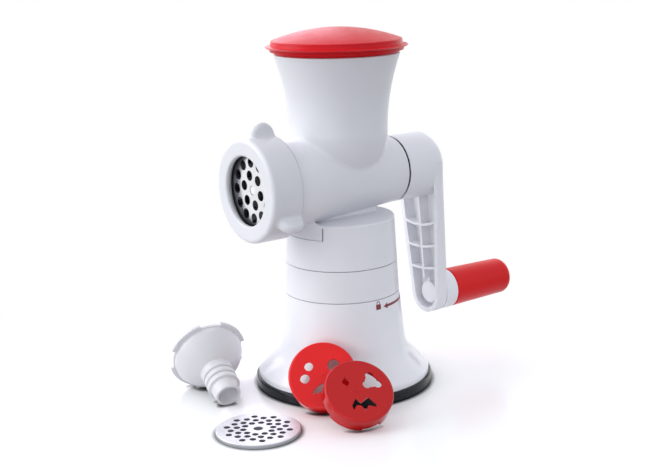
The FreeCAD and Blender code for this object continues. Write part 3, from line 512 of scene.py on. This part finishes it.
def draw_arrow(mesh):
    head_length = 5.0
    shaft_end = 46.0
    head_steps = 8
    shaft_steps = 60
    head = row(0.0, head_length, 0.0, head_steps)
    low = [(across, -arrow_half * across / head_length) for across, _ in head]
    high = [(across, arrow_half * across / head_length) for across, _ in head]
    strip(mesh, low, high, arrow_angle, arrow_z)
    low = row(head_length, shaft_end, -shaft_half, shaft_steps)
    high = row(head_length, shaft_end, shaft_half, shaft_steps)
    strip(mesh, low, high, arrow_angle, arrow_z)


add_mark("lock_mark", draw_lock)
add_mark("turn_arrow", draw_arrow)


# Pale floor that fades to white away from the object
def add_floor():
    floor_r = 6.0
    floor_drop = 0.0002
    crevice_reach = 0.004
    crevice_power = 3.0
    crevice_painted_shade = (0.01, 0.01, 0.01)
    open_colour = (0.80, 0.80, 0.81)
    shade_reach = 0.03
    glow_strength = 0.20
    middle = (-0.02, -0.03, 0)
    fade_start = 0.12
    fade_end = 0.42
    mesh = bmesh.new()
    bmesh.ops.create_circle(mesh, cap_ends=True, segments=96, radius=floor_r)
    data = bpy.data.meshes.new("floor")
    mesh.to_mesh(data)
    mesh.free()
    floor = bpy.data.objects.new("floor", data)
    floor.location = (0, 0, -floor_drop)
    scene.collection.objects.link(floor)
    paint = Paint("floor_white")
    out = paint.tree.nodes["Material Output"]
    surface = paint.shader
    # Painted shade: the floor's colour goes near black where ambient occlusion finds the object
    # close, along its contact lines and under the holes of the plate.
    tight = paint.add("ShaderNodeAmbientOcclusion", samples=8)
    tight.inputs["Distance"].default_value = crevice_reach
    deep = paint.add("ShaderNodeMath", operation="POWER")
    deep.inputs[1].default_value = crevice_power
    paint.link(tight.outputs["AO"], deep.inputs[0])
    colour = paint.between(deep.outputs[0], crevice_painted_shade, open_colour, start=0.0, end=1.0)
    paint.link(colour, surface.inputs["Base Color"])
    paint.set(Roughness=0.20, Specular_IOR_Level=0.32)
    # The glow seen by the camera lifts the floor towards white, but ambient occlusion dims it
    # near the object: painted shadow round and under it.
    shade = paint.add("ShaderNodeAmbientOcclusion", samples=8)
    shade.inputs["Distance"].default_value = shade_reach
    glow = paint.add("ShaderNodeEmission")
    glow.inputs["Color"].default_value = (1, 1, 1, 1)
    rays = paint.add("ShaderNodeLightPath")
    seen = paint.add("ShaderNodeMath", operation="MAXIMUM")
    paint.link(rays.outputs["Is Camera Ray"], seen.inputs[0])
    mirrored = paint.add("ShaderNodeMath", operation="MAXIMUM")
    paint.link(rays.outputs["Is Glossy Ray"], mirrored.inputs[0])
    paint.link(rays.outputs["Is Transmission Ray"], mirrored.inputs[1])
    paint.link(mirrored.outputs[0], seen.inputs[1])
    lift = paint.add("ShaderNodeMath", operation="MULTIPLY")
    lift.inputs[1].default_value = glow_strength
    paint.link(shade.outputs["AO"], lift.inputs[0])
    glow_painted_shadow = paint.add("ShaderNodeMath", operation="MULTIPLY")
    shown = paint.add("ShaderNodeMath", operation="MULTIPLY")
    paint.link(lift.outputs[0], glow_painted_shadow.inputs[0])
    paint.link(deep.outputs[0], glow_painted_shadow.inputs[1])
    paint.link(glow_painted_shadow.outputs[0], shown.inputs[0])
    paint.link(seen.outputs[0], shown.inputs[1])
    paint.link(shown.outputs[0], glow.inputs["Strength"])
    near = paint.add("ShaderNodeAddShader")
    paint.link(surface.outputs[0], near.inputs[0])
    paint.link(glow.outputs[0], near.inputs[1])
    blank = paint.add("ShaderNodeEmission")
    blank.inputs["Color"].default_value = (1, 1, 1, 1)
    paint.link(seen.outputs[0], blank.inputs["Strength"])
    reach = paint.distance_from(middle, upright)
    fade = paint.ranged(reach, 0.0, 1.0, fade_start, fade_end)
    both = paint.add("ShaderNodeMixShader")
    paint.link(fade, both.inputs["Fac"])
    paint.link(near.outputs[0], both.inputs[1])
    paint.link(blank.outputs[0], both.inputs[2])
    paint.link(both.outputs[0], out.inputs["Surface"])
    data.materials.append(paint.material)


# Studio light
def add_world():
    level_sideways = 1.05
    level_overhead = 0.72
    level_seen = 1.0
    tint_unseen = (0.96, 0.99, 1.06, 1)
    tint_seen = (1, 1, 1, 1)
    world = bpy.data.worlds.new("studio")
    scene.world = world
    world.use_nodes = True
    tree = world.node_tree
    sky = tree.nodes["Background"]
    rays = tree.nodes.new("ShaderNodeLightPath")
    glossy = tree.nodes.new("ShaderNodeMath")
    glossy.operation = "MAXIMUM"
    tree.links.new(rays.outputs["Is Glossy Ray"], glossy.inputs[0])
    tree.links.new(rays.outputs["Is Transmission Ray"], glossy.inputs[1])
    seen = tree.nodes.new("ShaderNodeMath")
    seen.operation = "MAXIMUM"
    tree.links.new(rays.outputs["Is Camera Ray"], seen.inputs[0])
    tree.links.new(glossy.outputs[0], seen.inputs[1])
    place = tree.nodes.new("ShaderNodeTexCoord")
    parts = tree.nodes.new("ShaderNodeSeparateXYZ")
    tree.links.new(place.outputs["Generated"], parts.inputs["Vector"])
    overhead = tree.nodes.new("ShaderNodeMapRange")
    overhead.inputs["To Min"].default_value = level_sideways
    overhead.inputs["To Max"].default_value = level_overhead
    tree.links.new(parts.outputs["Z"], overhead.inputs["Value"])
    level = tree.nodes.new("ShaderNodeMix")
    tree.links.new(seen.outputs[0], level.inputs[0])
    tree.links.new(overhead.outputs["Result"], level.inputs[2])
    level.inputs[3].default_value = level_seen
    tree.links.new(level.outputs[0], sky.inputs["Strength"])
    tint = tree.nodes.new("ShaderNodeMix")
    tint.data_type = "RGBA"
    tint.inputs[6].default_value = tint_unseen
    tint.inputs[7].default_value = tint_seen
    tree.links.new(seen.outputs[0], tint.inputs[0])
    tree.links.new(tint.outputs[2], sky.inputs["Color"])


def add_softbox(name, spot, target, width, height, power, colour=(1, 1, 1)):
    data = bpy.data.lights.new(name, "AREA")
    data.shape = "RECTANGLE"
    data.size = width
    data.size_y = height
    data.energy = power
    data.color = colour
    light = bpy.data.objects.new(name, data)
    scene.collection.objects.link(light)
    aim = Vector(target) - Vector(spot)
    turned = aim.to_track_quat("-Z", "Y").to_matrix().to_4x4()
    light.matrix_world = Matrix.Translation(spot) @ turned


add_camera()
add_floor()
add_world()
add_softbox(
    "key_light",
    spot=(-1.25, 0.75, 0.85),
    target=(0, 0, 0.16),
    width=1.2,
    height=1.5,
    power=15.0,
)
add_softbox(
    "rim_light",
    spot=(1.40, 0.50, 0.40),
    target=(0, 0, 0.18),
    width=1.1,
    height=1.3,
    power=2.5,
)
add_softbox(
    "fill_light",
    spot=(-1.20, -0.95, 0.20),
    target=(0.05, 0, 0.12),
    width=0.9,
    height=0.36,
    power=2.0,
)
add_softbox(
    "top_light",
    spot=(0.16, 1.20, 0.80),
    target=(0, 0, 0.28),
    width=1.35,
    height=0.9,
    power=5.4,
    colour=(1.0, 0.90, 1.10),
)
